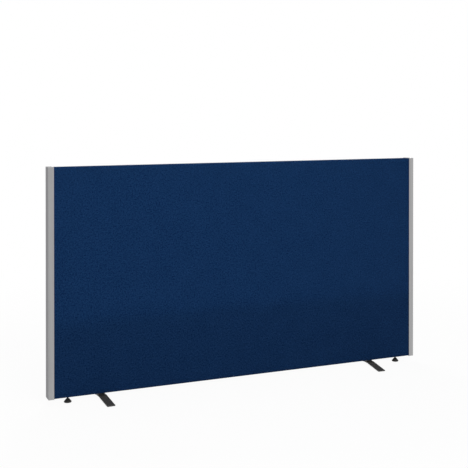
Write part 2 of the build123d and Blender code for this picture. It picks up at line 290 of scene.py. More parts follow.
@dataclass(frozen=True)
class WovenCloth(Finish):
    """Matt woven cloth of piece-dyed yarns, with uneven floats, a slightly mottled colour and painted shade
    in the weave's hollows.
    """

    yarn: float = 0.9 * MM
    relief: float = 0.22 * MM
    float_share: float = 0.14
    flatness: float = 0.6
    dip: float = 0.45
    # These three are counted in yarns, and the shade changes little along each one
    crossings: Pattern = Pattern(1.0, tone=0.5)
    painted_weave_shade: Pattern = Pattern(1.0, tone=0.55, middle=0.62)
    shades: Pattern = Pattern(1.0, tone=0.7)
    shade_apart: float = 3.7
    shade_along: float = 0.06
    mottle: Pattern = Pattern(6.5 * MM, 1.0, tone=1.4)
    heather: Pattern = Pattern(2.6 * MM, 1.0, tone=1.5)
    cloud: Pattern = Pattern(90.0 * MM, tone=0.22)
    fibre: Pattern = Pattern(0.12 * MM, 1.0, tone=0.3, start=0.66, full=0.80)
    fibre_height: float = 0.25
    spread: Colour = (0.87, 0.65, 0.50)
    pale_share: float = 0.35
    pale: Pair = (1.6, 0.02)
    roughness: float = 0.97
    crown_gloss: float = 0.12
    sheen_tint: Colour = (0.55, 0.70, 1.0)

    def dress(self, nodes: Nodes) -> None:
        """Builds the weave on the flat cloth, its painted shade in the hollows between the yarns, the yarns'
        own shades and the fibres on them.

        Args:
            nodes: The material's empty node tree.
        """
        flat = nodes.place("UV")
        across, along, _ = nodes.split(flat)
        across, along = across / self.yarn, along / self.yarn
        warp_number, weft_number = nodes.maths("FLOOR", across), nodes.maths("FLOOR", along)
        warp_round = nodes.maths("SINE", (across - warp_number) * math.pi)
        weft_round = nodes.maths("SINE", (along - weft_number) * math.pi)

        crossing = nodes.chance(nodes.joined(warp_number, weft_number))
        floats = nodes.maths("LESS_THAN", crossing, self.float_share)
        weft_on_top = abs((warp_number + weft_number) % 2.0 - floats)
        warp_height = warp_round ** self.flatness * (1 - self.dip + self.dip * weft_round)
        weft_height = weft_round ** self.flatness * (1 - self.dip + self.dip * warp_round)
        height = warp_height + (weft_height - warp_height) * weft_on_top

        warp_place = nodes.joined(warp_number * self.shade_apart, along * self.shade_along)
        weft_place = nodes.joined(across * self.shade_along, weft_number * self.shade_apart)
        warp_shade, weft_shade = nodes.noise(warp_place, self.shades), nodes.noise(weft_place, self.shades)
        yarn_shade = warp_shade + (weft_shade - warp_shade) * weft_on_top
        whole_yarns = nodes.joined(warp_number * self.yarn, weft_number * self.yarn)
        fibres = nodes.noise(flat, self.fibre)

        light = 0.5 + self.shades.toned(yarn_shade)
        # Painted shade: the weave's height darkens the hollows between the yarns and lightens their crowns
        light = light + self.crossings.toned(crossing) + self.painted_weave_shade.toned(height)
        for place, pattern in ((whole_yarns, self.mottle), (whole_yarns, self.heather), (flat, self.cloud)):
            light = light + pattern.toned(nodes.noise(place, pattern))
        light = light + self.fibre.toned(fibres)
        body, pale = self.shaded(nodes, light), scaled(self.colour, *self.pale)
        pale_fibres = nodes.step(fibres, self.fibre.start, self.fibre.full) * self.pale_share
        nodes.surface({
            "Base Color": nodes.between(pale_fibres, body, pale),
            "Roughness": self.roughness - self.crown_gloss * height,
            "Normal": nodes.bump(height + self.fibre_height * fibres, self.relief),
            "Specular IOR Level": 0.03,
            "Sheen Weight": 0.02,
            "Sheen Roughness": 0.45,
            "Sheen Tint": (*self.sheen_tint, 1.0),
        })


@dataclass(frozen=True)
class SilverLacquer(Finish):
    """Satin silver lacquer on an extrusion, whose die lines run upright."""

    die_lines: Pattern = Pattern(0.45 * MM, 3.0, tone=0.5, gloss=0.10)
    wide_lines: Pattern = Pattern(5.0 * MM, 1.0, tone=0.7)
    wide_height: float = 0.6
    upright: float = 0.012
    flakes: Pattern = Pattern(0.16 * MM, tone=0.35, middle=0.4)
    handling: Pattern = Pattern(35.0 * MM, 3.0, gloss=0.16)
    rubbing: Pattern = Pattern(6.0 * MM, 3.0, tone=0.5, gloss=-0.08, start=0.40, full=0.65)
    corner: Pair = (900.0 * MM, 27.0 * MM)
    edge: float = 0.9 * MM
    spread: Colour = (0.14, 0.14, 0.14)
    worn: Pair = (1.35, 0.0)
    roughness: float = 0.40
    relief: float = 0.02 * MM
    grazing_tint: Colour = (0.42, 0.42, 0.43)

    def dress(self, nodes: Nodes) -> None:
        """Builds the die lines, the lacquer's flakes and the rubbed edges.

        Args:
            nodes: The material's empty node tree.
        """
        place = nodes.place()
        drawn = nodes.mapped(place, Scale=(1.0, 1.0, self.upright))
        fine, wide = nodes.noise(drawn, self.die_lines), nodes.noise(drawn, self.wide_lines)
        flakes, handled = nodes.cells(place, self.flakes), nodes.noise(place, self.handling)
        across, depth, _ = nodes.split(place)
        rubbed = nodes.spots(place, self.rubbing)
        for reach, corner in zip((across, depth), self.corner):
            rubbed = rubbed * nodes.step(abs(reach), corner - self.edge, corner)

        light = 0.5 + self.die_lines.toned(fine) + self.wide_lines.toned(wide) + self.flakes.toned(flakes)
        body, worn = self.shaded(nodes, light), scaled(self.colour, *self.worn)
        gloss = self.roughness + self.handling.glossed(handled) + self.die_lines.glossed(fine)
        nodes.surface({
            "Base Color": nodes.between(rubbed * self.rubbing.tone, body, worn),
            "Roughness": gloss + self.rubbing.gloss * rubbed,
            "Metallic": 1.0,
            "Normal": nodes.bump(fine + self.wide_height * wide, self.relief),
            "Specular Tint": (*self.grazing_tint, 1.0),
        })


@dataclass(frozen=True)
class MouldedPlastic(Finish):
    """Moulded plastic with a fine spark-eroded grain, and scuffs near the floor."""

    roughness: float = 0.45
    grain: Pattern = Pattern(0.35 * MM, tone=0.6)
    patches: Pattern = Pattern(8.0 * MM, 3.0, tone=0.5, gloss=0.22)
    scuffing: Pattern = Pattern(1.2 * MM, 4.0, tone=0.7, gloss=0.25, start=0.52, full=0.66)
    scuff_height: float = 3.5 * MM
    worn: Pair = (1.3, 0.02)
    relief: float = 0.05 * MM

    def dress(self, nodes: Nodes) -> None:
        """Builds the grain, uneven gloss and the scuffed lower rim.

        Args:
            nodes: The material's empty node tree.
        """
        place = nodes.place()
        _, _, height = nodes.split(place)
        grain, patches = nodes.noise(place, self.grain), nodes.noise(place, self.patches)
        scuffs = (1.0 - nodes.step(height, 0.0, self.scuff_height)) * nodes.spots(place, self.scuffing)
        body = self.shaded(nodes, 0.5 + self.grain.toned(grain) + self.patches.toned(patches))
        worn = scaled(self.colour, *self.worn)
        nodes.surface({
            "Base Color": nodes.between(scuffs * self.scuffing.tone, body, worn),
            "Roughness": self.roughness + self.patches.glossed(patches) + self.scuffing.gloss * scuffs,
            "Normal": nodes.bump(grain, self.relief),
        })


@dataclass(frozen=True)
class PowderCoat(Finish):
    """Fine-textured powder coat on a flat bar, rubbed thin along the bar's long edges."""

    middle: Pair = (0.0, 0.0)
    turn: float = 0.0
    half_width: float = 17.5 * MM
    thickness: float = 5.0 * MM
    rise: float = 12.0 * MM
    slope: Pair = (15.0 * MM, 116.0 * MM)
    edge: float = 0.9 * MM
    pebbles: Pattern = Pattern(0.8 * MM, tone=0.6, gloss=0.20)
    grit_and_glints: Pattern = Pattern(0.25 * MM, tone=0.25, middle=0.4)
    grit_height: float = 0.2
    scuffing: Pattern = Pattern(2.5 * MM, 4.0, tone=0.2, gloss=-0.10, start=0.60, full=0.72)
    scuff_stretch: float = 0.15
    scuffed: Pair = (30.0 * MM, 100.0 * MM)
    rubbing: Pattern = Pattern(6.0 * MM, 3.0, tone=0.3, gloss=-0.12, start=0.40, full=0.60)
    worn: Pair = (1.5, 0.015)
    roughness: float = 0.56
    relief: float = 0.06 * MM

    def dress(self, nodes: Nodes) -> None:
        """Builds the pebbled skin, painted glints on its grit, shoe scuffs and rubbed edges.

        Args:
            nodes: The material's empty node tree.
        """
        place = nodes.place()
        away = (-self.middle[0], -self.middle[1], 0.0)
        on_bar = nodes.mapped(place, Location=away, Rotation=(0.0, 0.0, self.turn))
        across, along, height = nodes.split(on_bar)
        pebbles, grit_and_glints = nodes.noise(place, self.pebbles), nodes.cells(place, self.grit_and_glints)
        scuffs = nodes.spots(nodes.mapped(on_bar, Scale=(1.0, self.scuff_stretch, 1.0)), self.scuffing)
        scuffs = scuffs * nodes.step(abs(along), *self.scuffed)
        down = (abs(along) - self.slope[0]) / (self.slope[1] - self.slope[0])
        down = nodes.maths("MINIMUM", nodes.maths("MAXIMUM", down, 0.0), 1.0)
        from_middle = abs(height - self.rise * (1 - down) - self.thickness / 2)
        rubbed = nodes.spots(place, self.rubbing)
        for reach, half in ((abs(across), self.half_width), (from_middle, self.thickness / 2)):
            rubbed = rubbed * nodes.step(reach, half - self.edge, half)
        # The grit's cells lighten specks of the colour as painted glints, and also roughen the bump
        body = self.shaded(nodes, 0.5 + self.pebbles.toned(pebbles) + self.grit_and_glints.toned(grit_and_glints))
        worn = scaled(self.colour, *self.worn)
        gloss = self.roughness + self.pebbles.glossed(pebbles) + self.scuffing.gloss * scuffs
        nodes.surface({
            "Base Color": nodes.between(self.scuffing.tone * scuffs + self.rubbing.tone * rubbed, body, worn),
            "Roughness": gloss + self.rubbing.gloss * rubbed,
            "Normal": nodes.bump(pebbles + self.grit_height * grit_and_glints, self.relief),
        })


@dataclass(frozen=True)
class PlatedSteel(Finish):
    """Zinc-plated steel with a clouded passivation and fine handling marks."""

    roughness: float = 0.32
    clouds: Pattern = Pattern(4.0 * MM, 3.0, gloss=0.18, start=0.38, full=0.64)
    marks: Pattern = Pattern(0.4 * MM, 3.0, gloss=0.12)
    relief: float = 0.015 * MM
    second: Colour = (0.5, 0.5, 0.45)

    def dress(self, nodes: Nodes) -> None:
        """Builds the clouded tint and the marks.

        Args:
            nodes: The material's empty node tree.
        """
        place = nodes.place()
        clouds, marks = nodes.noise(place, self.clouds), nodes.noise(place, self.marks)
        tint = nodes.step(clouds, self.clouds.start, self.clouds.full)
        nodes.surface({
            "Base Color": nodes.between(tint, self.colour, self.second),
            "Metallic": 1.0,
            "Roughness": self.roughness + self.clouds.glossed(clouds) + self.marks.glossed(marks),
            "Normal": nodes.bump(marks, self.relief),
        })


@dataclass(frozen=True)
class PlanedWood(Finish):
    """Planed wood with growth rings and a finer figure along its grain."""

    grain: Grain = Grain.LENGTHWAYS
    ring: float = 7.0 * MM
    ring_tone: float = 0.35
    wander: Pattern = Pattern(30.0 * MM)
    wander_reach: float = 50.0 * MM
    figure: Pattern = Pattern(0.7 * MM, 3.0, tone=0.6, gloss=0.2)
    late: Pair = (0.35, 0.95)
    late_wood: Colour = (0.42, 0.25, 0.11)
    roughness: float = 0.62
    relief: float = 0.06 * MM

    def dress(self, nodes: Nodes) -> None:
        """Builds the rings and the figure.

        Args:
            nodes: The material's empty node tree.
        """
        drawn = nodes.mapped(nodes.place(), Scale=self.grain.value)
        x, y, z = nodes.split(drawn)
        wander = self.wander_reach * nodes.noise(drawn, self.wander)
        rings = nodes.maths("SINE", (x + y + z + wander) * (2 * math.pi / self.ring))
        figure = nodes.noise(drawn, self.figure)
        light = 0.5 + self.ring_tone * rings + self.figure.toned(figure)
        nodes.surface({
            "Base Color": nodes.between(nodes.step(light, *self.late), self.colour, self.late_wood),
            "Roughness": self.roughness + self.figure.glossed(figure),
            "Normal": nodes.bump(figure, self.relief),
        })


@dataclass(frozen=True)
class PressedFibre(Finish):
    """Pressed fibres, as in hardboard or a mineral slab: matted strands and darker chips."""

    strands: Pattern = Pattern(1.2 * MM, 3.0, gloss=0.3, start=0.4, full=0.75)
    strand_stretch: float = 0.2
    chipping: Pattern = Pattern(5.0 * MM, 4.0, tone=0.5, start=0.58, full=0.66)
    chip_factor: float = 0.55
    spread: Colour = (0.3, 0.3, 0.3)
    roughness: float = 0.75
    relief: float = 0.15 * MM

    def dress(self, nodes: Nodes) -> None:
        """Builds two crossed sets of strands, and the chips.

        Args:
            nodes: The material's empty node tree.
        """
        place = nodes.place()
        lying = nodes.mapped(place, Scale=(self.strand_stretch, 1.0, 1.0))
        standing = nodes.mapped(place, Scale=(1.0, 1.0, self.strand_stretch))
        mat = nodes.maths("MAXIMUM", nodes.noise(lying, self.strands), nodes.noise(standing, self.strands))
        light = nodes.step(mat, self.strands.start, self.strands.full)
        chips = nodes.spots(place, self.chipping) * self.chipping.tone
        body, chip = self.shaded(nodes, light), scaled(self.colour, self.chip_factor)
        nodes.surface({
            "Base Color": nodes.between(chips, body, chip),
            "Roughness": self.roughness + self.strands.glossed(mat),
            "Normal": nodes.bump(mat, self.relief),
        })


@dataclass(frozen=True)
class OpenFoam(Finish):
    """Open-celled foam, with painted shade darkening its cells and paler walls between them."""

    walls: Pattern = Pattern(0.9 * MM, tone=0.8, gloss=0.1, start=0.25, full=0.6)
    patches: Pattern = Pattern(25.0 * MM, tone=0.4)
    cell_shade_factor: float = 0.5
    bright_factor: float = 1.3
    roughness: float = 0.85
    relief: float = 0.3 * MM

    def dress(self, nodes: Nodes) -> None:
        """Builds the cells, darkened inside by painted shade, and slightly uneven patches.

        Args:
            nodes: The material's empty node tree.
        """
        place = nodes.place()
        walls = nodes.step(nodes.cells(place, self.walls), self.walls.start, self.walls.full)
        # Painted shade: the colour is darkest in the middle of each cell and paler on the walls
        light = walls * self.walls.tone + self.patches.toned(nodes.noise(place, self.patches))
        dark, bright = scaled(self.colour, self.cell_shade_factor), scaled(self.colour, self.bright_factor)
        nodes.surface({
            "Base Color": nodes.between(light, dark, bright),
            "Roughness": self.roughness + self.walls.gloss * walls,
            "Normal": nodes.bump(walls, self.relief),
        })


CLOTH = WovenCloth("navy_cloth", (0.0057, 0.0251, 0.0805))
LACQUER = SilverLacquer("silver_lacquer", (0.392, 0.392, 0.396))
CAP_PLASTIC = MouldedPlastic("grey_cap_plastic", (0.35, 0.35, 0.355), roughness=0.5, scuff_height=0.5 * MM)
BLACK_PLASTIC = MouldedPlastic("black_plastic", (0.014, 0.014, 0.015), roughness=0.42)
BLACK_ZINC = PlatedSteel("black_zinc", (0.045, 0.046, 0.050), roughness=0.38, second=(0.075, 0.070, 0.062))
BRIGHT_ZINC = PlatedSteel("bright_zinc", (0.52, 0.53, 0.55), second=(0.60, 0.58, 0.50))
PINE_RAIL = PlanedWood("pine_lengthways", (0.66, 0.47, 0.27))
PINE_STILE = PlanedWood("pine_upright", (0.66, 0.47, 0.27), grain=Grain.UPRIGHT)
BEECH = PlanedWood("beech_dowel", (0.60, 0.40, 0.24), ring=2.5 * MM, late_wood=(0.50, 0.31, 0.17))
HARDBOARD = PressedFibre("hardboard", (0.20, 0.11, 0.055))
MINERAL_SLAB = PressedFibre(
    "mineral_slab",
    (0.42, 0.36, 0.20),
    strands=Pattern(2.0 * MM, 3.0, gloss=0.3, start=0.4, full=0.75),
    relief=0.6 * MM,
)
GREY_FOAM = OpenFoam("grey_foam", (0.26, 0.26, 0.28))


def give(finish: Finish, *pieces: bpy.types.Object | str) -> None:
    """Gives pieces a finish, in place of what their material slots held.

    Args:
        finish: The finish.
        pieces: New pieces, or the names of CAD nodes.
    """
    found = [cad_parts[piece] if isinstance(piece, str) else piece for piece in pieces]
    for piece in found:
        if not piece.material_slots:
            piece.data.materials.append(finish.material())
        for slot in piece.material_slots:
            slot.material = finish.material()
    log.info("%s on %s", finish.name, ", ".join(piece.name for piece in found))


def dress_nodes(groups: dict[Finish, tuple[str, ...]]) -> None:
    """Gives each group of CAD nodes its finish."""
    for finish, names in groups.items():
        give(finish, *names)


class Bench:
    """Holds one new piece while the modelling operators shape it."""

    def __init__(self, name: str, add: Callable[..., set[str]], **sizes: object) -> None:
        """Adds a primitive at its size and place, or a copy of the selected piece.

        Args:
            name: The piece's name.
            add: The operator that adds it.
            sizes: What the operator is given.
        """
        add(**sizes)
        self.piece = bpy.context.active_object
        self.piece.name = self.piece.data.name = name
        self.settle()

    def settle(self) -> None:
        """Moves the object's place, turn and scale into its mesh."""
        self.take_up()
        bpy.ops.object.transform_apply(location=True, rotation=True, scale=True)

    def take_up(self) -> None:
        """Makes this piece the only one selected."""
        bpy.ops.object.select_all(action="DESELECT")
        self.piece.select_set(True)
        bpy.context.view_layer.objects.active = self.piece

    def __enter__(self) -> "Bench":
        """Goes into edit mode.

        Returns:
            The bench itself.
        """
        self.take_up()
        bpy.ops.object.mode_set(mode="EDIT")
        return self

    def __exit__(self, *problem: object) -> None:
        """Leaves edit mode."""
        bpy.ops.object.mode_set(mode="OBJECT")

    def pick(self, kind: Part, rule: Callable[[Vector, Vector], bool]) -> None:
        """Selects what a rule accepts, and nothing else.

        Args:
            kind: Corners, edges or faces.
            rule: Takes an item's middle, and its normal or an edge's direction.
        """
        bpy.ops.mesh.select_mode(type=kind.value)
        bpy.ops.mesh.select_all(action="DESELECT")
        mesh = bmesh.from_edit_mesh(self.piece.data)
        mesh.normal_update()
        if kind is Part.FACE:
            items = [(f, f.calc_center_median(), f.normal) for f in mesh.faces]
        elif kind is Part.EDGE:
            ends = [(e, e.verts[0].co, e.verts[1].co) for e in mesh.edges]
            items = [(e, (a + b) / 2, (b - a).normalized()) for e, a, b in ends]
        else:
            items = [(v, v.co, v.normal) for v in mesh.verts]
        for item, middle, facing in items:
            if rule(middle, facing):
                item.select_set(True)
        mesh.select_flush_mode()
        bmesh.update_edit_mesh(self.piece.data)

    def cut(self, place: Vector, normal: Vector, clear: bool = False) -> None:
        """Cuts the selection by a plane.

        Args:
            place: A point of the plane.
            normal: The plane's normal.
            clear: Cuts all of the piece, takes away what lies beyond the plane and closes the cut.
        """
        if clear:
            bpy.ops.mesh.select_all(action="SELECT")
        bpy.ops.mesh.bisect(
            plane_co=place, plane_no=normal, clear_outer=clear, use_fill=clear, threshold=CLOSE
        )

    def extrude(self, move: Vector) -> None:
        """Extrudes the selection and moves what is extruded."""
        bpy.ops.mesh.extrude_region_move(TRANSFORM_OT_translate={"value": move})

    def modify(self, kind: str, **settings: object) -> None:
        """Adds a modifier and applies it.

        Args:
            kind: The modifier's type.
            settings: Its properties.
        """
        self.take_up()
        modifier = self.piece.modifiers.new(kind, kind)
        for key, setting in settings.items():
            setattr(modifier, key, setting)
        bpy.ops.object.modifier_apply(modifier=modifier.name)

    def carve(self, tool: "Bench", operation: str) -> None:
        """Combines this piece with another, which is used up."""
        self.modify("BOOLEAN", object=tool.piece, operation=operation, solver="EXACT")
        bpy.data.objects.remove(tool.piece)

    def join(self, other: "Bench") -> None:
        """Joins another piece into this one.

        Args:
            other: The piece that is used up.
        """
        self.take_up()
        other.piece.select_set(True)
        bpy.ops.object.join()

    def pair(self, name: str, reach: float) -> tuple["Bench", "Bench"]:
        """Moves the piece from the middle to the left, and copies it to the right.

        Args:
            name: The copy's name.
            reach: How far each one is from the middle.

        Returns:
            The piece and its copy.
        """
        self.piece.location.x = -reach
        self.settle()
        twin = Bench(name, bpy.ops.object.duplicate, linked=False)
        twin.piece.location.x = 2 * reach
        twin.settle()
        return self, twin

    def smooth(self, angle: float = 35.0) -> None:
        """Shades the piece smooth, apart from edges sharper than an angle in degrees."""
        self.take_up()
        bpy.ops.object.shade_smooth_by_angle(angle=math.radians(angle))


def cylinder(name: str, corners: int, radius: float, low: float, high: float) -> Bench:
    """Makes a cylinder or a prism on the Z axis, between two heights."""
    place = {"depth": high - low, "location": (0, 0, (high + low) / 2)}
    return Bench(name, bpy.ops.mesh.primitive_cylinder_add, vertices=corners, radius=radius, **place)


@dataclass
class PanelCore:
    """The panel's wooden frame, slabs, boards, foam and fixings, all carried over from the CAD."""

    rails: tuple[str, ...] = ("top_rail", "bottom_rail")
    stiles: tuple[str, ...] = ("left_stile", "right_stile", "centre_stile")
    dowels: tuple[str, ...] = ("frame_dowels",)
    slabs: tuple[str, ...] = ("left_core", "right_core")
    boards: tuple[str, ...] = ("front_board", "back_board")
    foams: tuple[str, ...] = ("front_foam", "back_foam")
    fixings: tuple[str, ...] = ("hem_staples", "rail_inserts")

    def build(self) -> None:
        """Gives each node its finish."""
        dress_nodes({PINE_RAIL: self.rails, PINE_STILE: self.stiles, BEECH: self.dowels})
        dress_nodes({MINERAL_SLAB: self.slabs, HARDBOARD: self.boards, GREY_FOAM: self.foams})
        dress_nodes({BRIGHT_ZINC: self.fixings})


@dataclass
class FabricCover:
    """The cloth over front, top and back, drawn tight, with its hems turned under the bottom."""

    thickness: float = 1.0 * MM
    edge_radius: float = 4.0 * MM
    edge_steps: int = 5
    hem_opening: float = 16.0 * MM
    columns: int = 119
    rows: int = 63
    crown: float = 0.7 * MM
    crown_reach: float = 32.0 * MM
    crown_cut_shares: tuple[float, ...] = (0.0, 0.1, 0.3, 0.6)
    unevenness: float = 0.5 * MM
    uneven_size: float = 110.0 * MM
    skin_depth: float = 0.1 * MM
    sharp_angle: float = 40.0

    def __post_init__(self) -> None:
        """Reads the cover's place and the trims' lips from the frame."""
        self.low, self.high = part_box("fabric_cover")
        self.lip = abs(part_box("left_edge_trim")[1].x)
        self.half_thickness = self.high.y

    def shell(self) -> Bench:
        """Makes the tight skin of the panel, open at its ends and under the bottom.

        Returns:
            The skin, still without thickness.
        """
        size, middle = self.high - self.low, (self.high + self.low) / 2
        bench = Bench("cover", bpy.ops.mesh.primitive_cube_add, size=1, location=middle, scale=size)
        with bench:
            bench.pick(Part.FACE, lambda _, facing: abs(facing.x) > SQUARE)
            bpy.ops.mesh.delete(type="FACE")
            bench.pick(Part.EDGE, lambda _, along: abs(along.x) > SQUARE)
            bpy.ops.mesh.bevel(offset=self.edge_radius, segments=self.edge_steps, affect="EDGES")
            half_opening = self.hem_opening / 2
            for side in SIDES.values():
                bench.pick(Part.FACE, lambda _, facing: facing.z < -SQUARE)
                bench.cut((0, side * half_opening, 0), (0, 1, 0))
            bench.pick(Part.FACE, lambda place, facing: facing.z < -SQUARE and abs(place.y) < half_opening)
            bpy.ops.mesh.delete(type="FACE")
            bench.pick(Part.EDGE, lambda _, along: abs(along.z) > SQUARE)
            bpy.ops.mesh.subdivide(number_cuts=self.rows)
            bench.pick(Part.EDGE, lambda _, along: abs(along.x) > SQUARE)
            bpy.ops.mesh.subdivide(number_cuts=self.columns)
            for side in SIDES.values():
                for beyond in self.crown_cut_shares:
                    bpy.ops.mesh.select_all(action="SELECT")
                    bench.cut((side * (self.lip - beyond * self.crown_reach), 0, 0), (1, 0, 0))
        return bench

    def flat_length(self, place: Vector) -> float:
        """Distance of a point from the middle of the top, along the cloth.

        Args:
            place: A point of the skin.

        Returns:
            The distance in metres, towards the back.
        """
        flat = self.half_thickness - self.edge_radius
        turn = self.edge_radius * math.pi / 2
        upper, lower = self.high.z - self.edge_radius, self.low.z + self.edge_radius
        out = max(0.0, abs(place.y) - flat)
        if place.z > upper:
            length = min(abs(place.y), flat) + self.edge_radius * math.atan2(out, place.z - upper)
        elif place.z > lower:
            length = flat + turn + upper - place.z
        else:
            length = flat + turn + upper - lower
            length += self.edge_radius * math.atan2(lower - place.z, max(out, NEXT_TO_NOTHING))
            length += max(0.0, flat - abs(place.y))
        return math.copysign(length, place.y)

    def flat_size(self) -> Pair:
        """Width and length of the cloth before it was wrapped, in metres."""
        hem_edge = Vector((0, self.hem_opening / 2, self.low.z))
        return self.high.x - self.low.x, 2 * self.flat_length(hem_edge)

    def lay_out(self, bench: Bench) -> None:
        """Gives the skin a UV map that is the flat cloth, in metres.

        Args:
            bench: The skin.
        """
        mesh = bench.piece.data
        cloth = mesh.uv_layers.active or mesh.uv_layers.new()
        cloth.name = "flat_cloth"
        for loop, flat in zip(mesh.loops, cloth.data):
            place = mesh.vertices[loop.vertex_index].co
            flat.uv = (place.x, self.flat_length(place))

    def swell(self, bench: Bench) -> None:
        """Lets the foam push the cloth out between the trims, a little unevenly.

        Args:
            bench: The skin.
        """
        group = bench.piece.vertex_groups.new(name="free_cloth")
        for vertex in bench.piece.data.vertices:
            inside = (self.lip - abs(vertex.co.x)) / self.crown_reach
            share = max(0.0, min(1.0, inside))
            if abs(vertex.co.y) > self.half_thickness - self.skin_depth:
                group.add([vertex.index], share * share * (3 - 2 * share), "REPLACE")
        uneven = bpy.data.textures.new("foam_unevenness", "CLOUDS")
        uneven.noise_scale = self.uneven_size
        uneven.noise_depth = 1
        bench.modify("DISPLACE", vertex_group=group.name, strength=self.crown, mid_level=0.0)
        local = {"texture": uneven, "texture_coords": "LOCAL", "strength": self.unevenness}
        bench.modify("DISPLACE", vertex_group=group.name, **local)

    def build(self) -> None:
        """Makes the cover and puts it in the CAD cover's place."""
        bench = self.shell()
        self.lay_out(bench)
        self.swell(bench)
        bench.modify("SOLIDIFY", thickness=self.thickness, offset=-1.0)
        bench.smooth(self.sharp_angle)
        give(CLOTH, bench.piece)
        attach(bench.piece, "panel")
        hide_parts("fabric_cover")
        self.flat_size()
        log.info("cover, flat size %.3f by %.3f m", *self.flat_size())


@dataclass
class EdgeTrims:
    """The upright trims with their caps and screws, carried over from the CAD."""

    metal: tuple[str, ...] = ("left_edge_trim", "right_edge_trim", "left_trim_screws", "right_trim_screws")
    caps: tuple[str, ...] = tuple(f"{side}_{end}_cap" for side in SIDES for end in ("bottom", "top"))

    def build(self) -> None:
        """Gives each node its finish."""
        dress_nodes({LACQUER: self.metal, CAP_PLASTIC: self.caps})


@dataclass
class ScrewThread:
    """A right-hand outside thread, cut to length, with a chamfered end."""

    radius: float = 4.0 * MM
    pitch: float = 1.25 * MM
    depth: float = 0.75 * MM
    crest_share: float = 0.14
    root_share: float = 0.24
    steps: int = 24
    spare_turns: int = 3
    chamfer: float = 1.0 * MM

    def profile(self) -> Bench:
        """Makes the thread's outline over one pitch.

        Returns:
            The outline, a line beside the Z axis.
        """
        bench = Bench("thread", bpy.ops.mesh.primitive_plane_add, size=self.pitch)
        root = self.radius - self.depth
        flank = (1 - self.crest_share - self.root_share) / 2
        shares = (self.root_share, self.root_share + flank, 1 - flank)
        with bench:
            bench.pick(Part.CORNER, lambda middle, _: middle.y > 0)
            bpy.ops.mesh.delete(type="VERT")
            bench.pick(Part.EDGE, lambda _, along: True)
            bpy.ops.mesh.subdivide(number_cuts=len(shares))
            mesh = bmesh.from_edit_mesh(bench.piece.data)
            line = sorted(mesh.verts, key=lambda vertex: vertex.co.x)
            reaches = (root, root, self.radius, self.radius, root)
            for vertex, reach, share in zip(line, reaches, (0, *shares, 1)):
                vertex.co = (reach, 0, share * self.pitch)
            bmesh.update_edit_mesh(bench.piece.data)
        return bench

    def rod(self, low: float, high: float) -> Bench:
        """Makes the threaded rod on the Z axis.

        Args:
            low: Height of its lower end.
            high: Height of its chamfered end.

        Returns:
            The rod, closed at both ends.
        """
        bench = self.profile()
        turns = math.ceil((high - low) / self.pitch) + self.spare_turns
        bench.modify(
            "SCREW",
            axis="Z",
            screw_offset=self.pitch,
            iterations=turns,
            steps=self.steps,
            render_steps=self.steps,
            use_merge_vertices=True,
            merge_threshold=CLOSE,
        )
        with bench:
            bpy.ops.mesh.select_all(action="SELECT")
            bpy.ops.transform.translate(value=(0, 0, low - self.spare_turns / 2 * self.pitch))
            bench.cut((0, 0, high), (0, 0, 1), clear=True)
            bench.cut((0, 0, low), (0, 0, -1), clear=True)
            bpy.ops.mesh.select_all(action="SELECT")
            bpy.ops.mesh.remove_doubles(threshold=CLOSE)
            bpy.ops.mesh.normals_make_consistent(inside=False)
        stock = cylinder("stock", 2 * self.steps, self.radius + SLACK, low, high)
        with stock:
            stock.pick(Part.FACE, lambda _, facing: facing.z > SQUARE)
            bpy.ops.mesh.bevel(offset=self.chamfer, segments=1, affect="EDGES")
        bench.carve(stock, "INTERSECT")
        return bench


@dataclass
class LevellingGlides:
    """The two glides: moulded bases from the CAD, and studs with a ball end, flats and a thread."""

    thread: ScrewThread
    ball_radius: float = 5.5 * MM
    neck_radius: float = 3.3 * MM
    ball_segments: int = 40
    ball_rings: int = 24
    flats: float = 7.0 * MM
    flats_height: float = 5.0 * MM

    def __post_init__(self) -> None:
        """Reads the left stud's place and the base's height from the frame."""
        self.low, self.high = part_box("left_glide_stud")
        self.base_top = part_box("left_glide_base")[1].z
        self.place = abs((self.low.x + self.high.x) / 2)

    def ball_end(self) -> Bench:
        """Makes the ball, the neck above it and the part that gets the flats.

        Returns:
            The stud up to its thread.
        """
        middle = self.low.z + self.ball_radius
        cut_height = middle + math.sqrt(self.ball_radius**2 - self.neck_radius**2)
        flats_top = self.base_top + self.flats_height
        bench = Bench(
            "left_stud",
            bpy.ops.mesh.primitive_uv_sphere_add,
            segments=self.ball_segments,
            ring_count=self.ball_rings,
            radius=self.ball_radius,
            location=(0, 0, middle),
        )
        with bench:
            bench.cut((0, 0, cut_height), (0, 0, 1), clear=True)
            bench.pick(Part.FACE, lambda place, _: place.z > cut_height - SLACK)
            bench.extrude((0, 0, self.base_top - self.thread.chamfer / 2 - cut_height))
            bench.extrude((0, 0, self.thread.chamfer / 2))
            wider = self.thread.radius / self.neck_radius
            bpy.ops.transform.resize(value=(wider, wider, 1), center_override=(0, 0, self.base_top))
            bench.extrude((0, 0, flats_top - self.base_top))
        return bench

    def spanner_cut(self) -> Bench:
        """Makes the two blocks that are cut away beside the flats.

        Returns:
            Both blocks, as one piece.
        """
        height, reach = self.flats_height, 2 * self.thread.radius
        size = (2 * reach, reach, height)
        blocks = []
        for side in SIDES.values():
            place = (0, side * (self.flats / 2 + reach / 2), self.base_top + height / 2)
            blocks.append(Bench("block", bpy.ops.mesh.primitive_cube_add, size=1, location=place, scale=size))
        blocks[0].join(blocks[1])
        return blocks[0]

    def build(self) -> None:
        """Makes the left stud, copies it for the right and puts both in the CAD studs' places."""
        stud = self.ball_end()
        stud.carve(self.spanner_cut(), "DIFFERENCE")
        stud.join(self.thread.rod(self.base_top + self.flats_height, self.high.z))
        stud.smooth()
        for side, bench in zip(SIDES, stud.pair("right_stud", self.place)):
            give(BLACK_ZINC, bench.piece)
            give(BLACK_PLASTIC, f"{side}_glide_base")
            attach(bench.piece, f"{side}_stud")
            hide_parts(f"{side}_glide_stud")


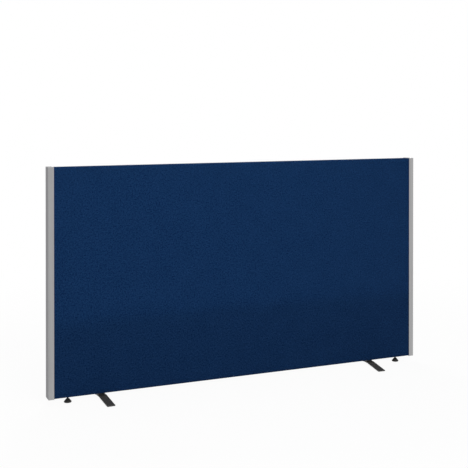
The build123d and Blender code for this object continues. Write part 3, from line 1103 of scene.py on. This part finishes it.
@dataclass
class SwivelFeet:
    """The two flat-bar feet with their bolts, washers and spacer sleeves."""

    thread: ScrewThread
    toe_in: float = 3.5
    head_radius: float = 6.5 * MM
    head_height: float = 4.0 * MM
    head_rounding: float = 0.8 * MM
    head_segments: int = 48
    rounding_steps: int = 4
    socket_corners: int = 6
    socket_width: float = 5.0 * MM
    socket_depth: float = 2.2 * MM
    coat_colour: Colour = (0.0455, 0.0435, 0.0410)

    def __post_init__(self) -> None:
        """Reads the left bolt's place from the frame."""
        self.low, self.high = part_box("left_foot_bolt")
        self.place = abs((self.low.x + self.high.x) / 2)

    def bolt(self) -> Bench:
        """Makes a bolt: its rounded head, the hexagon socket and the thread.

        Returns:
            The bolt.
        """
        head_top = self.low.z + self.head_height
        bench = cylinder("left_bolt", self.head_segments, self.head_radius, self.low.z, head_top)
        with bench:
            bench.pick(Part.FACE, lambda _, facing: facing.z < -SQUARE)
            bpy.ops.mesh.bevel(offset=self.head_rounding, segments=self.rounding_steps, affect="EDGES")
        across_corners = self.socket_width / math.cos(math.pi / self.socket_corners)
        ends = (self.low.z - self.socket_depth, self.low.z + self.socket_depth)
        bench.carve(cylinder("socket", self.socket_corners, across_corners / 2, *ends), "DIFFERENCE")
        bench.join(self.thread.rod(head_top, self.high.z))
        return bench

    def build(self) -> None:
        """Makes both bolts, and dresses the feet and what holds them."""
        bolt = self.bolt()
        bolt.smooth()
        for (side, direction), bench in zip(SIDES.items(), bolt.pair("right_bolt", self.place)):
            coat = PowderCoat(
                f"{side}_powder_coat",
                self.coat_colour,
                middle=(direction * self.place, 0.0),
                turn=math.radians(direction * self.toe_in),
            )
            give(coat, f"{side}_foot")
            give(BLACK_PLASTIC, f"{side}_foot_spacer")
            give(BLACK_ZINC, bench.piece, f"{side}_foot_washer")
            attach(bench.piece, "panel")
            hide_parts(f"{side}_foot_bolt")


@dataclass
class Viewpoint:
    """Where the photograph was taken from, fitted to the screen's edges in it."""

    place: Triple = (-1.7525, -3.9968, 1.2514)
    turn: float = 23.722
    dip: float = 0.448
    focal_pixels: float = 956.0
    middle_pixel: Pair = (244.40, 114.33)
    picture_pixels: float = 468.0
    sensor: float = 36.0

    def build(self) -> None:
        """Adds the camera and makes it the scene's."""
        camera = bpy.data.cameras.new("photograph_view")
        camera.sensor_width = self.sensor
        camera.lens = self.sensor * self.focal_pixels / self.picture_pixels
        camera.shift_x = 0.5 - self.middle_pixel[0] / self.picture_pixels
        camera.shift_y = self.middle_pixel[1] / self.picture_pixels - 0.5
        holder = bpy.data.objects.new(camera.name, camera)
        holder.location = self.place
        holder.rotation_euler = (math.radians(90 - self.dip), 0, -math.radians(self.turn))
        bpy.context.collection.objects.link(holder)
        bpy.context.scene.camera = holder
        log.info("camera with a %.1f mm lens", camera.lens)


@dataclass(frozen=True)
class Lamp:
    """A rectangular lamp that neither the camera nor a reflection shows, with its angles in degrees."""

    name: str
    size: Pair
    watts: float
    place: Triple
    # From facing down, about X
    pitch: float = 0.0
    beam: float = 180.0

    def hang(self) -> None:
        """Adds the lamp to the scene."""
        lamp = bpy.data.lights.new(self.name, "AREA")
        lamp.shape = "RECTANGLE"
        lamp.size, lamp.size_y = self.size
        lamp.energy = self.watts
        lamp.spread = math.radians(self.beam)
        holder = bpy.data.objects.new(self.name, lamp)
        holder.location = self.place
        holder.rotation_euler = (math.radians(self.pitch), 0, 0)
        holder.visible_camera = False
        holder.visible_glossy = False
        bpy.context.collection.objects.link(holder)


@dataclass
class Studio:
    """A plain white floor, an even white sky, and lamps above, in front and behind."""

    floor_size: float = 400.0
    floor_drop: float = 0.05 * MM
    floor_colour: Colour = (0.88, 0.88, 0.88)
    white: Colour = (1.0, 1.0, 1.0)
    backdrop_share: float = 0.94
    shadow_from: float = 1.2
    shadow_to: float = 3.2
    sky_light: float = 0.39
    # The softbox's narrow beam starts 345 mm up, below which the photograph's fabric is darker
    lamps: tuple[Lamp, ...] = (
        Lamp("top_lamp", (3.0, 3.0), 28.0, (0.0, -0.9, 3.4)),
        Lamp("key_lamp", (1.4, 1.4), 45.5, (-0.5, -2.8, 2.6), pitch=55.0),
        Lamp("rear_lamp", (1.4, 1.4), 45.5, (0.5, 2.8, 2.6), pitch=-55.0),
        Lamp("softbox", (4.4, 2.255), 5.0, (0.0, -4.4, 1.4725), pitch=90.0, beam=1.3),
    )

    def _seen(self, nodes: Nodes) -> Value:
        """Tells what is seen from what only lights.

        Args:
            nodes: The node tree.

        Returns:
            One for what the camera, a reflection or a clear piece shows, and zero for light.
        """
        path = nodes.node("LightPath")
        kinds = ("Camera", "Glossy", "Transmission")
        camera, glossy, clear = (Value(nodes, path.outputs[f"Is {kind} Ray"]) for kind in kinds)
        return nodes.maths("MINIMUM", camera + glossy + clear, 1.0)

    def lay_floor(self) -> None:
        """Lays the floor, which shows white far away and keeps the object's soft shadow near it."""
        place = (0, 0, -self.floor_drop)
        bench = Bench("floor", bpy.ops.mesh.primitive_plane_add, size=self.floor_size, location=place)
        material = bpy.data.materials.new("studio_floor")
        material.use_nodes = True
        nodes = Nodes(material.node_tree)
        matt = nodes.node("BsdfDiffuse", {"Color": (*self.floor_colour, 1.0)})
        glow = nodes.node("Emission", {"Color": (*self.white, 1.0)})
        x, y, _ = nodes.split(nodes.place())
        away = nodes.step((x * x + y * y) ** 0.5, self.shadow_from, self.shadow_to)
        share = self.backdrop_share + (1 - self.backdrop_share) * away
        nodes.mixture("OutputMaterial", self._seen(nodes) * share, matt, glow)
        bench.piece.data.materials.append(material)

    def light_sky(self) -> None:
        """Makes the even sky, plain white where it is seen and gentler where it lights."""
        world = bpy.data.worlds.new("studio_sky")
        world.use_nodes = True
        nodes = Nodes(world.node_tree)
        light, shown = (
            nodes.node("Background", {"Color": (*self.white, 1.0), "Strength": strength})
            for strength in (self.sky_light, 1.0)
        )
        nodes.mixture("OutputWorld", self._seen(nodes), light, shown)
        bpy.context.scene.world = world

    def build(self) -> None:
        """Sets up the floor, the sky and the lamps, with plain colours."""
        self.lay_floor()
        self.light_sky()
        for lamp in self.lamps:
            lamp.hang()
        bpy.context.scene.view_settings.view_transform = "Standard"
        log.info("floor, sky and %d lamps", len(self.lamps))


def main() -> None:
    """Builds the studio and every sub-assembly in order."""
    logging.basicConfig(level=logging.INFO, format="%(message)s")
    thread = ScrewThread()
    assemblies = (PanelCore(), FabricCover(), EdgeTrims(), LevellingGlides(thread), SwivelFeet(thread))
    for assembly in (Viewpoint(), Studio(), *assemblies):
        assembly.build()


if __name__ == "__main__":
    main()
